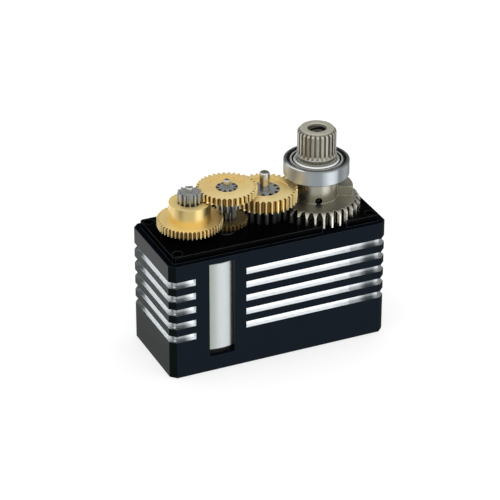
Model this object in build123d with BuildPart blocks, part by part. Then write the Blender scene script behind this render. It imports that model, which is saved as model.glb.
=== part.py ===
"""Mini servo with its gear cover lifted off.

A finned aluminium case holds a coreless motor, a circuit board and a position sensor.
Five gear stages stand on the case between the motor pinion and the splined output shaft.
Millimetres, +Z up along the output axis, origin at the middle of the case's underside.
"""
import os
from math import acos, cos, pi, radians, sin, sqrt, tan

from build123d import *

# Case
case_length = 35.5
case_width = 15.0
case_height = 19.0
corner_chamfer = 0.9
edge_break = 0.1
register_inset = 0.92
register_height = 1.05
output_to_end = 8.4

# Cooling grooves, counted down from the case rim
groove_count = 5
groove_width = 1.05
groove_pitch = 2.29
groove_depth = 0.5
first_groove_below_rim = 2.65
plain_zone_left = 4.21
plain_zone_right = 3.96

# Teeth
pressure_angle = 25.0
addendum_factor = 0.85
dedendum_factor = 1.1
tooth_thinning = 0.03
motor_module = 0.2
first_module = 0.2
second_module = 0.25
third_module = 0.28
output_module = 0.4
motor_pinion_teeth = 11
first_gear_teeth = 30
first_pinion_teeth = 12
second_gear_teeth = 48
second_pinion_teeth = 13
third_gear_teeth = 35
third_pinion_teeth = 10
fourth_gear_teeth = 34
fourth_pinion_teeth = 11
output_gear_teeth = 32

# Heights of the gear train above the case rim
motor_pinion_bottom = 1.35
motor_pinion_top = 2.2
first_gear_bottom = 1.4
first_gear_top = 2.2
first_pinion_bottom = 1.1
first_pinion_top = 3.6
second_gear_bottom = 2.31
second_gear_top = 3.45
second_hub_top = 6.16
second_pinion_top = 7.85
third_pinion_bottom = 3.7
third_gear_bottom = 6.34
third_gear_top = 7.47
fourth_pinion_bottom = 0.5
fourth_gear_bottom = 3.95
fourth_gear_top = 5.85
gear_shaft_top = 8.54
second_hub_radius = 3.14
third_recess_radius = 3.1
fourth_recess_radius = 3.6
face_recess_depth = 0.15
fourth_pinion_seat_radius = 2.3

# Fixed gear shafts
thin_shaft_radius = 0.5
thick_shaft_radius = 0.78
shaft_tip_chamfer = 0.15
shaft_seat_floor = 0.3

# Output shaft
output_gear_bottom = 0.57
output_gear_top = 2.95
output_gear_chamfer = 0.6
output_gear_turn = 1.9
output_hub_radius = 3.25
output_hub_top = 6.65
bearing_seat_radius = 3.0
collar_top = 9.95
spline_top = 14.2
spline_teeth = 25
spline_radius = 2.95
spline_chamfer = 0.45
spline_chamfer_height = 0.5
spline_slot_bottom = 10.05
spline_slot_width = 0.36
spline_slot_depth = 0.3
spline_slot_turn = 9.2
horn_screw_radius = 1.25
horn_screw_depth = 6.0
horn_screw_mouth = 0.3
hub_hole_radius = 0.55
hub_hole_depth = 1.2
hub_hole_height = 0.48
hub_hole_angle = -108.0
lower_journal_radius = 1.97
sensor_stub_radius = 1.2
sensor_stub_flat = 0.35
stop_half_angle = 30.0
stop_reach = 5.6
stop_top = 4.57

# Output ball bearing
bearing_outer_radius = 5.0
bearing_width = 2.5
bearing_edge = 0.15
inner_ring_thickness = 0.5
outer_ring_thickness = 0.45
ball_radius = 0.6
ball_count = 8
race_conformity = 0.03
seal_recess = 0.35
seal_thickness = 0.15
seal_gap = 0.08
seal_ridge_inset = 0.1
seal_ridge_width = 0.33
seal_ridge_height = 0.25
cage_thickness = 0.35
cage_height = 1.5

# Clearances
running_clearance = 0.03
seat_clearance = 0.02
board_clearance = 0.1

# Deck of the case
well_clearance = 0.12
pinion_pocket_clearance = 0.3
pinion_pocket_floor = 0.4
motor_roof = 0.8
electronics_roof = 1.6
sensor_boss_radius = 4.9
sensor_boss_drop = 1.4
cover_screw_inset = 2.0
cover_screw_radius = 0.8
motor_shaft_hole_radius = 0.9

# Motor
motor_can_radius = 7.15
motor_can_bottom = 3.4
motor_can_wall = 0.4
motor_can_front = 1.2
motor_can_edge = 0.3
motor_shaft_radius = 0.5
motor_bush_radius = 1.5
motor_bush_length = 1.8
magnet_radius = 4.6
magnet_bore = 1.7
coil_inner_radius = 5.0
coil_outer_radius = 5.7
coil_floor = 0.8
coil_end_gap = 0.5
commutator_radius = 1.3
commutator_length = 0.7
commutator_gap = 0.08
end_cap_radius = 6.6
end_cap_spigot = 0.6
brush_thickness = 0.15
brush_height = 0.5
terminal_width = 1.4
terminal_thickness = 0.3
terminal_tail = 0.2
brush_reach = 2.6
window_width = 4.05
window_bottom = 2.5
motor_screw_circle = 3.6
motor_screw_angle = -30.0
motor_screw_radius = 0.8
motor_screw_head_radius = 1.4

# Underside
lid_thickness = 1.2
lid_wall = 0.6
board_wall = 1.0
board_thickness = 0.8
board_height = 1.5
post_size = 3.6
standoff_side = 1.6
standoff_from_motor = 2.0
lid_screw_from_motor = 6.9
lid_screw_y = 4.9
lid_screw_radius = 0.8
lid_screw_head_radius = 1.35
lid_screw_length = 5.0
lid_boss_radius = 1.5
lid_corner_sink_radius = 1.3
countersink_angle = 90

# Position sensor and electronics
pocket_web = 1.03
pocket_end_wall = 3.6
pocket_wall = 1.4
bush_flange_radius = 3.6
bush_flange_thickness = 0.5
bush_radius = 3.0
sensor_radius = 4.5
sensor_height = 4.6
sensor_wall = 0.5
sensor_base_thickness = 0.8
wiper_hub_radius = 1.9
wiper_disc_radius = 3.6
wiper_disc_thickness = 0.4
lead_side = 0.45
lead_spacing = 2.0
lead_reach = 3.0
wiper_finger = 0.8
chip_size = 4.0
chip_height = 0.9
driver_size = 2.2
driver_height = 0.8
capacitor_length = 2.0
capacitor_width = 1.25

# Lead inlet
inlet_width = 5.2
inlet_height = 2.2
inlet_depth = 2.6
inlet_step = 0.5
lead_hole_radius = 0.6
lead_hole_pitch = 1.5

# Places that follow from the sizes above
half_length = case_length / 2
half_width = case_width / 2
deck = case_height + register_height


def centre_distance(module, teeth, mating_teeth):
    """Distance between the axes of two meshing gears."""
    return module * (teeth + mating_teeth) / 2


output_x = half_length - output_to_end
fourth_x = output_x - centre_distance(output_module, fourth_pinion_teeth, output_gear_teeth)
first_x = fourth_x - centre_distance(third_module, third_pinion_teeth, fourth_gear_teeth)
second_x = first_x - centre_distance(first_module, first_pinion_teeth, second_gear_teeth)
motor_x = first_x - centre_distance(motor_module, motor_pinion_teeth, first_gear_teeth)


def above_rim(height):
    """Height above the underside of a level that is measured from the case rim."""
    return case_height + height


def tip_radius(module, teeth):
    """Outside radius of a gear with stub teeth."""
    return module * (teeth / 2 + addendum_factor)


def root_radius(module, teeth):
    """Radius at the bottom of the tooth spaces."""
    return module * (teeth / 2 - dedendum_factor)


def polar(centre_x, radius, angle):
    """Point on a circle about an axis that stands on the case's centre line."""
    return centre_x + radius * cos(angle), radius * sin(angle)


def tooth_outline(centre_x, module, teeth, first_tooth=0.0):
    """Closed outline of an involute gear, drawn in the block that calls it.

    The middle of one tooth points along first_tooth, in degrees from +X.
    Each flank is two straight lines, within 0.01 mm of the true curve.
    """
    pitch_radius = module * teeth / 2
    base_radius = pitch_radius * cos(radians(pressure_angle))
    outer = tip_radius(module, teeth)
    inner = root_radius(module, teeth)
    flank_start = max(base_radius, inner)

    def half_angle(radius):
        roll = acos(min(1, base_radius / radius))
        at_pitch = pi / (2 * teeth) - tooth_thinning / (2 * pitch_radius)
        pitch_roll = radians(pressure_angle)
        return at_pitch + (tan(pitch_roll) - pitch_roll) - (tan(roll) - roll)

    root_half = half_angle(flank_start)
    middle = (flank_start + outer) / 2
    corners = []
    for tooth in range(teeth):
        axis = radians(first_tooth) + tooth * 2 * pi / teeth
        flank = [(flank_start, root_half), (middle, half_angle(middle)), (outer, half_angle(outer))]
        if inner < flank_start:
            flank.insert(0, (inner, root_half))
        corners += [polar(centre_x, radius, axis - half) for radius, half in flank]
        corners += [polar(centre_x, radius, axis + half) for radius, half in reversed(flank)]
    Polyline(corners, close=True)


def space_towards(direction, teeth):
    """Direction of a tooth for a gear that has a tooth space along the given direction."""
    return direction + 180 / teeth


def toothed_disc(centre_x, module, teeth, bottom, top, first_tooth=0.0):
    """Toothed prism between two heights, added to the part that calls it."""
    with BuildSketch(Plane.XY.offset(bottom)) as disc:
        with BuildLine():
            tooth_outline(centre_x, module, teeth, first_tooth)
        make_face()
    extrude(disc.sketch, amount=top - bottom)


def round_cut(centre_x, radius, bottom, top, centre_y=0.0):
    """Round hole between two heights in the part that calls it."""
    with BuildSketch(Plane.XY.offset(bottom)) as hole:
        with Locations((centre_x, centre_y)):
            Circle(radius)
    extrude(hole.sketch, amount=top - bottom, mode=Mode.SUBTRACT)


def turned(centre_x, points, centre_y=0.0, mode=Mode.ADD):
    """Turned form about a vertical axis, from points given as radius and height."""
    with BuildSketch(Plane.XZ.offset(-centre_y)) as section:
        with BuildLine():
            Polyline([(centre_x + radius, height) for radius, height in points], close=True)
        make_face()
    revolve(section.sketch, axis=Axis((centre_x, centre_y, 0), (0, 0, 1)), mode=mode)


def case_outline(inset=0.0, mode=Mode.ADD):
    """Case outline with chamfered corners, moved inwards by an even inset."""
    x = half_length - inset
    y = half_width - inset
    leg = corner_chamfer - inset * (2 - sqrt(2))
    corners = [
        (x, y - leg), (x - leg, y), (leg - x, y), (-x, y - leg),
        (-x, leg - y), (leg - x, -y), (x - leg, -y), (x, leg - y),
    ]
    with BuildLine() as outline:
        Polyline(corners, close=True)
    make_face(outline.edges(), mode=mode)


def countersunk_screw(centre, head_face, length, radius, head_radius, way):
    """Countersunk screw with a cross recess; way is 1 where its shank points up, else -1."""
    centre_x, centre_y = centre
    recess = head_radius / 2
    turned(centre_x, [
        (0, head_face),
        (head_radius, head_face),
        (radius, head_face + way * (head_radius - radius)),
        (radius, head_face + way * length),
        (0, head_face + way * length),
    ], centre_y)
    with BuildSketch(Plane.XY.offset(head_face)) as cross:
        with Locations(centre):
            Rectangle(2 * recess, recess / 2)
            Rectangle(recess / 2, 2 * recess)
    extrude(cross.sketch, amount=way * recess, mode=Mode.SUBTRACT)


# Middle case: machined from one aluminium block, black anodised, bare in the cooling grooves.
cover_screw_x = half_length - cover_screw_inset
cover_screw_y = half_width - cover_screw_inset
motor_roof_z = above_rim(-motor_roof)
pocket_roof_z = above_rim(-electronics_roof)
cavity_top = board_height + board_thickness + seat_clearance
sensor_boss_z = pocket_roof_z - sensor_boss_drop
lid_screw_x = motor_x + lid_screw_from_motor
motor_bore_radius = motor_can_radius + running_clearance
motor_screws_at = [
    polar(motor_x, side * motor_screw_circle, radians(motor_screw_angle)) for side in (-1, 1)
]
inlet_bottom = cavity_top + seat_clearance
pocket_left = motor_x + motor_bore_radius + pocket_web
pocket_right = half_length - pocket_end_wall
pocket_length = pocket_right - pocket_left
pocket_x = (pocket_left + pocket_right) / 2

with BuildPart() as middle_case:
    with BuildSketch():
        case_outline()
    extrude(amount=case_height)
    chamfer(middle_case.faces().sort_by(Axis.Z)[0].edges(), edge_break)
    with BuildSketch(Plane.XY.offset(case_height)):
        case_outline(register_inset)
    extrude(amount=register_height)

    # Cooling grooves round both ends, broken off where the motor bore thins the wall
    plain_length = plain_zone_left + plain_zone_right
    plain_x = motor_x + (plain_zone_right - plain_zone_left) / 2
    for groove in range(groove_count):
        groove_top = above_rim(-first_groove_below_rim - groove * groove_pitch)
        with BuildSketch(Plane.XY.offset(groove_top)):
            Rectangle(2 * case_length, 2 * case_width)
            case_outline(groove_depth, mode=Mode.SUBTRACT)
            with Locations((plain_x, 0)):
                Rectangle(plain_length, 2 * case_width, mode=Mode.SUBTRACT)
        extrude(amount=-groove_width, mode=Mode.SUBTRACT)

    # Round well for the output gear and pocket for the fourth pinion
    well_radius = tip_radius(output_module, output_gear_teeth) + well_clearance
    round_cut(output_x, well_radius, case_height, deck)
    pinion_pocket_radius = (
        tip_radius(output_module, fourth_pinion_teeth) + pinion_pocket_clearance
    )
    round_cut(fourth_x, pinion_pocket_radius, above_rim(pinion_pocket_floor), deck)

    # Recess for the bottom cover and cavity for the circuit board
    with BuildSketch():
        case_outline(lid_wall)
    extrude(amount=lid_thickness, mode=Mode.SUBTRACT)
    with BuildSketch(Plane.XY.offset(lid_thickness)):
        Rectangle(case_length - 2 * board_wall, case_width - 2 * board_wall)
        with GridLocations(case_length - post_size, case_width - post_size, 2, 2):
            Rectangle(post_size, post_size, mode=Mode.SUBTRACT)
        with Locations((lid_screw_x, lid_screw_y), (lid_screw_x, -lid_screw_y)):
            Circle(lid_boss_radius, mode=Mode.SUBTRACT)
    extrude(amount=cavity_top - lid_thickness, mode=Mode.SUBTRACT)

    # Motor bore, motor windows and electronics pocket with the sensor boss left standing
    round_cut(motor_x, motor_bore_radius, cavity_top, motor_roof_z)
    with BuildSketch(Plane.XY.offset(window_bottom)):
        with Locations((motor_x, 0)):
            Rectangle(window_width, 2 * case_width)
    extrude(amount=motor_roof_z - window_bottom, mode=Mode.SUBTRACT)
    with BuildSketch(Plane.XY.offset(cavity_top)):
        with Locations((pocket_x, 0)):
            Rectangle(pocket_length, case_width - 2 * pocket_wall)
    extrude(amount=sensor_boss_z - cavity_top, mode=Mode.SUBTRACT)
    with BuildSketch(Plane.XY.offset(sensor_boss_z)):
        with Locations((pocket_x, 0)):
            Rectangle(pocket_length, case_width - 2 * pocket_wall)
        with Locations((output_x, 0)):
            Circle(sensor_boss_radius, mode=Mode.SUBTRACT)
    extrude(amount=pocket_roof_z - sensor_boss_z, mode=Mode.SUBTRACT)

    # Holes in the deck for shafts, bush and motor, and the lead inlet in the end wall
    for shaft_x in (second_x, first_x):
        round_cut(shaft_x, thin_shaft_radius + seat_clearance, motor_roof_z + shaft_seat_floor, deck)
    round_cut(fourth_x, thick_shaft_radius + seat_clearance, pocket_roof_z + shaft_seat_floor, deck)
    round_cut(output_x, bush_radius + seat_clearance, sensor_boss_z, deck)
    round_cut(motor_x, motor_shaft_hole_radius, motor_roof_z, deck)
    with BuildSketch(Plane.YZ.offset(half_length)):
        with Locations((0, inlet_bottom + inlet_height / 2)):
            RectangleRounded(inlet_width, inlet_height, inlet_step)
    extrude(amount=-inlet_depth, mode=Mode.SUBTRACT)
    with BuildSketch(Plane.YZ.offset(half_length)):
        with Locations((0, inlet_bottom + inlet_height / 2)):
            Rectangle(inlet_width - 2 * inlet_step, inlet_height - 2 * inlet_step)
    extrude(amount=-(pocket_end_wall + inlet_step), mode=Mode.SUBTRACT)

    # Screw holes: motor screws in the deck, cover screws through the corners, bottom cover screws
    with Locations(*[Pos(x, y, deck) for x, y in motor_screws_at]):
        CounterSinkHole(
            motor_screw_radius + running_clearance,
            motor_screw_head_radius + running_clearance,
            register_height + motor_roof,
            countersink_angle,
        )
    with Locations(Pos(0, 0, deck)):
        with GridLocations(2 * cover_screw_x, 2 * cover_screw_y, 2, 2):
            Hole(cover_screw_radius, deck)
    for side in (-1, 1):
        round_cut(
            lid_screw_x,
            lid_screw_radius + seat_clearance,
            0,
            lid_screw_length + lid_thickness,
            side * lid_screw_y,
        )
middle_case.part.label = "middle_case"

# Bottom cover: plate let into the underside, with four standoffs under the circuit board.
lid_screws_at = [(lid_screw_x, side * lid_screw_y) for side in (-1, 1)]
standoff_x = half_length - post_size - board_wall
standoff_y = half_width - board_wall - standoff_side
standoffs_at = [(motor_x, side * standoff_from_motor) for side in (-1, 1)]
standoffs_at += [(standoff_x, side * standoff_y) for side in (-1, 1)]
underside = Plane.XY.rotated((180, 0, 0))
with BuildPart() as bottom_cover:
    with BuildSketch():
        case_outline(lid_wall + running_clearance)
    extrude(amount=lid_thickness - seat_clearance)
    with BuildSketch(Plane.XY.offset(lid_thickness - seat_clearance)):
        with Locations(*standoffs_at):
            Rectangle(standoff_side, standoff_side)
    extrude(amount=board_height - lid_thickness)
    with Locations(underside):
        with GridLocations(2 * cover_screw_x, 2 * cover_screw_y, 2, 2):
            CounterSinkHole(
                cover_screw_radius, lid_corner_sink_radius, lid_thickness, countersink_angle
            )
    with Locations([underside * Pos(x, y, 0) for x, y in lid_screws_at]):
        CounterSinkHole(
            lid_screw_radius + running_clearance,
            lid_screw_head_radius + running_clearance,
            lid_thickness,
            countersink_angle,
        )
bottom_cover.part.label = "bottom_cover"

# Bottom screws: two short countersunk screws that hold the bottom cover to the case.
with BuildPart() as bottom_screws:
    for at in lid_screws_at:
        countersunk_screw(at, 0, lid_screw_length, lid_screw_radius, lid_screw_head_radius, 1)
bottom_screws.part.label = "bottom_screws"

# Motor screws: two countersunk screws through the deck into the front of the motor can.
motor_screw_length = register_height + motor_roof + motor_can_front
with BuildPart() as motor_screws:
    for at in motor_screws_at:
        countersunk_screw(
            at, deck, motor_screw_length, motor_screw_radius, motor_screw_head_radius, -1
        )
motor_screws.part.label = "motor_screws"

# Motor can: drawn steel cup, open at the bottom, that closes the magnetic circuit.
can_top = motor_roof_z - seat_clearance
can_inside = motor_can_radius - motor_can_wall
can_ceiling = can_top - motor_can_front
with BuildPart() as motor_can:
    turned(motor_x, [
        (motor_bush_radius + seat_clearance, can_top),
        (motor_can_radius - motor_can_edge, can_top),
        (motor_can_radius, can_top - motor_can_edge),
        (motor_can_radius, motor_can_bottom),
        (can_inside, motor_can_bottom),
        (can_inside, can_ceiling),
        (motor_bush_radius + seat_clearance, can_ceiling),
    ])
    for screw_x, screw_y in motor_screws_at:
        round_cut(screw_x, motor_screw_radius + seat_clearance, can_ceiling, can_top, screw_y)
motor_can.part.label = "motor_can"

# Motor front bush: sintered bronze sleeve in the front of the can.
with BuildPart() as motor_front_bush:
    turned(motor_x, [
        (motor_shaft_radius + running_clearance, can_top),
        (motor_bush_radius, can_top),
        (motor_bush_radius, can_top - motor_bush_length),
        (motor_shaft_radius + running_clearance, can_top - motor_bush_length),
    ])
motor_front_bush.part.label = "motor_front_bush"

# Motor magnet: fixed ring magnet inside the cup winding, glued to the front of the can.
end_cap_top = motor_can_bottom + end_cap_spigot
coil_floor_bottom = end_cap_top + commutator_gap + commutator_length
coil_floor_top = coil_floor_bottom + coil_floor
magnet_bottom = coil_floor_top + coil_end_gap
with BuildPart() as motor_magnet:
    turned(motor_x, [
        (magnet_bore, can_ceiling),
        (magnet_radius, can_ceiling),
        (magnet_radius, magnet_bottom),
        (magnet_bore, magnet_bottom),
    ])
motor_magnet.part.label = "motor_magnet"

# Motor end cap: moulded plug in the open end of the can, with slots for the terminals.
end_cap_bottom = cavity_top + seat_clearance
terminal_y = (magnet_radius + coil_inner_radius) / 2
terminal_places = [(motor_x, terminal_y), (motor_x, -terminal_y)]
with BuildPart() as motor_end_cap:
    turned(motor_x, [
        (motor_shaft_radius + running_clearance, end_cap_bottom),
        (end_cap_radius, end_cap_bottom),
        (end_cap_radius, motor_can_bottom - seat_clearance),
        (can_inside - seat_clearance, motor_can_bottom - seat_clearance),
        (can_inside - seat_clearance, end_cap_top),
        (motor_shaft_radius + running_clearance, end_cap_top),
    ])
    with BuildSketch(Plane.XY.offset(end_cap_bottom)):
        with Locations(*terminal_places):
            Rectangle(terminal_width + 2 * seat_clearance, terminal_thickness + 2 * seat_clearance)
    extrude(amount=end_cap_top - end_cap_bottom, mode=Mode.SUBTRACT)
motor_end_cap.part.label = "motor_end_cap"

# Motor terminals: two flat blades from the brushes down through the circuit board.
terminal_bottom = board_height - terminal_tail
with BuildPart() as motor_terminals:
    with BuildSketch(Plane.XY.offset(terminal_bottom)):
        with Locations(*terminal_places):
            Rectangle(terminal_width, terminal_thickness)
    extrude(amount=end_cap_top + brush_height - terminal_bottom)
motor_terminals.part.label = "motor_terminals"

# Motor brushes: two leaf springs from the terminals to either side of the commutator.
brush_bottom = end_cap_top + seat_clearance
leaf_y = commutator_radius + running_clearance + brush_thickness / 2
root_y = terminal_y - (terminal_thickness + brush_thickness) / 2
with BuildPart() as motor_brushes:
    for side in (-1, 1):
        with BuildSketch(Plane.XY.offset(brush_bottom)):
            with BuildLine():
                Polyline(
                    (motor_x - terminal_width / 2, side * root_y),
                    (motor_x + brush_reach, side * root_y),
                    (motor_x + brush_reach, side * leaf_y),
                    (motor_x - commutator_radius, side * leaf_y),
                )
            trace(line_width=brush_thickness)
        extrude(amount=brush_height)
motor_brushes.part.label = "motor_brushes"

# Motor coil: self-supporting copper cup that turns in the gap between magnet and can.
coil_top = can_ceiling - coil_end_gap
motor_bore = motor_shaft_radius + seat_clearance
with BuildPart() as motor_coil:
    turned(motor_x, [
        (motor_bore, coil_floor_bottom),
        (coil_outer_radius, coil_floor_bottom),
        (coil_outer_radius, coil_top),
        (coil_inner_radius, coil_top),
        (coil_inner_radius, coil_floor_top),
        (motor_bore, coil_floor_top),
    ])
motor_coil.part.label = "motor_coil"

# Commutator: small segmented sleeve on the shaft below the coil.
with BuildPart() as commutator:
    turned(motor_x, [
        (motor_bore, coil_floor_bottom),
        (commutator_radius, coil_floor_bottom),
        (commutator_radius, coil_floor_bottom - commutator_length),
        (motor_bore, coil_floor_bottom - commutator_length),
    ])
commutator.part.label = "commutator"

# Motor shaft: hardened steel, from the end cap up to the pinion.
with BuildPart() as motor_shaft:
    turned(motor_x, [
        (0, end_cap_bottom),
        (motor_shaft_radius, end_cap_bottom),
        (motor_shaft_radius, above_rim(motor_pinion_top)),
        (0, above_rim(motor_pinion_top)),
    ])
motor_shaft.part.label = "motor_shaft"

# Motor pinion: pressed on the motor shaft, drives the first gear.
with BuildPart() as motor_pinion:
    toothed_disc(
        motor_x, motor_module, motor_pinion_teeth,
        above_rim(motor_pinion_bottom), above_rim(motor_pinion_top),
    )
    round_cut(motor_x, motor_bore, 0, above_rim(motor_pinion_top))
motor_pinion.part.label = "motor_pinion"

# First stage: brass gear on a steel pinion, turning freely low on the first shaft.
thin_bore = thin_shaft_radius + running_clearance
first_seat = tip_radius(first_module, first_pinion_teeth) + seat_clearance
with BuildPart() as first_gear:
    toothed_disc(
        first_x, motor_module, first_gear_teeth,
        above_rim(first_gear_bottom), above_rim(first_gear_top),
        space_towards(180, first_gear_teeth),
    )
    round_cut(first_x, first_seat, 0, above_rim(first_gear_top))
first_gear.part.label = "first_gear"

with BuildPart() as first_pinion:
    toothed_disc(
        first_x, first_module, first_pinion_teeth,
        above_rim(first_pinion_bottom), above_rim(first_pinion_top), 180,
    )
    round_cut(first_x, thin_bore, 0, above_rim(first_pinion_top))
first_pinion.part.label = "first_pinion"

# Second stage: brass gear with a tall smooth hub round a steel pinion.
second_seat = tip_radius(second_module, second_pinion_teeth) + seat_clearance
with BuildPart() as second_gear:
    toothed_disc(
        second_x, first_module, second_gear_teeth,
        above_rim(second_gear_bottom), above_rim(second_gear_top),
        space_towards(0, second_gear_teeth),
    )
    with BuildSketch(Plane.XY.offset(above_rim(second_gear_top))):
        with Locations((second_x, 0)):
            Circle(second_hub_radius)
    extrude(amount=second_hub_top - second_gear_top)
    round_cut(second_x, second_seat, 0, above_rim(second_hub_top))
second_gear.part.label = "second_gear"

with BuildPart() as second_pinion:
    toothed_disc(
        second_x, second_module, second_pinion_teeth,
        above_rim(second_gear_bottom), above_rim(second_pinion_top),
    )
    round_cut(second_x, thin_bore, 0, above_rim(second_pinion_top))
second_pinion.part.label = "second_pinion"

# Third stage: brass gear with a shallow face recess, on a pinion that reaches down the first shaft.
third_seat = tip_radius(third_module, third_pinion_teeth) + seat_clearance
third_face = above_rim(third_gear_top - face_recess_depth)
with BuildPart() as third_gear:
    toothed_disc(
        first_x, second_module, third_gear_teeth,
        above_rim(third_gear_bottom), above_rim(third_gear_top),
        space_towards(180, third_gear_teeth),
    )
    round_cut(first_x, third_seat, 0, above_rim(third_gear_top))
    round_cut(first_x, third_recess_radius, third_face, above_rim(third_gear_top))
third_gear.part.label = "third_gear"

with BuildPart() as third_pinion:
    toothed_disc(
        first_x, third_module, third_pinion_teeth, above_rim(third_pinion_bottom), third_face
    )
    round_cut(first_x, thin_bore, 0, third_face)
third_pinion.part.label = "third_pinion"

# Fourth stage: thick brass gear, seated on the turned-down end of the pinion that drives the output.
fourth_face = above_rim(fourth_gear_top - face_recess_depth)
fourth_shoulder = above_rim(fourth_gear_bottom)
fourth_pinion_tip = tip_radius(output_module, fourth_pinion_teeth)
with BuildPart() as fourth_gear:
    toothed_disc(
        fourth_x, third_module, fourth_gear_teeth, fourth_shoulder, above_rim(fourth_gear_top),
        space_towards(180, fourth_gear_teeth),
    )
    round_cut(fourth_x, fourth_pinion_seat_radius + seat_clearance, 0, above_rim(fourth_gear_top))
    round_cut(fourth_x, fourth_recess_radius, fourth_face, above_rim(fourth_gear_top))
fourth_gear.part.label = "fourth_gear"

with BuildPart() as fourth_pinion:
    toothed_disc(
        fourth_x, output_module, fourth_pinion_teeth, above_rim(fourth_pinion_bottom), fourth_face,
        -output_gear_turn * output_gear_teeth / fourth_pinion_teeth,
    )
    turned(fourth_x, [
        (fourth_pinion_seat_radius, fourth_shoulder - seat_clearance),
        (2 * fourth_pinion_tip, fourth_shoulder - seat_clearance),
        (2 * fourth_pinion_tip, fourth_face),
        (fourth_pinion_seat_radius, fourth_face),
    ], mode=Mode.SUBTRACT)
    round_cut(fourth_x, thick_shaft_radius + running_clearance, 0, fourth_face)
fourth_pinion.part.label = "fourth_pinion"


def shaft_profile(radius, bottom):
    """Half section of a fixed gear shaft with a chamfered tip, up to the common shaft height."""
    top = above_rim(gear_shaft_top)
    return [
        (0, bottom),
        (radius, bottom),
        (radius, top - shaft_tip_chamfer),
        (radius - shaft_tip_chamfer, top),
        (0, top),
    ]


# Fixed shafts: ground steel pins pressed into the deck; the gear cover holds their upper ends.
with BuildPart() as first_shaft:
    turned(first_x, shaft_profile(thin_shaft_radius, motor_roof_z + shaft_seat_floor))
first_shaft.part.label = "first_shaft"

with BuildPart() as second_shaft:
    turned(second_x, shaft_profile(thin_shaft_radius, motor_roof_z + shaft_seat_floor))
second_shaft.part.label = "second_shaft"

with BuildPart() as fourth_shaft:
    turned(fourth_x, shaft_profile(thick_shaft_radius, pocket_roof_z + shaft_seat_floor))
fourth_shaft.part.label = "fourth_shaft"

# Output bush: flanged bronze sleeve pressed into the deck under the output gear.
with BuildPart() as output_bush:
    bush_bore = lower_journal_radius + running_clearance
    turned(output_x, [
        (bush_bore, sensor_boss_z),
        (bush_radius, sensor_boss_z),
        (bush_radius, case_height + seat_clearance),
        (bush_flange_radius, case_height + seat_clearance),
        (bush_flange_radius, case_height + bush_flange_thickness),
        (bush_bore, case_height + bush_flange_thickness),
    ])
output_bush.part.label = "output_bush"

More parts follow.
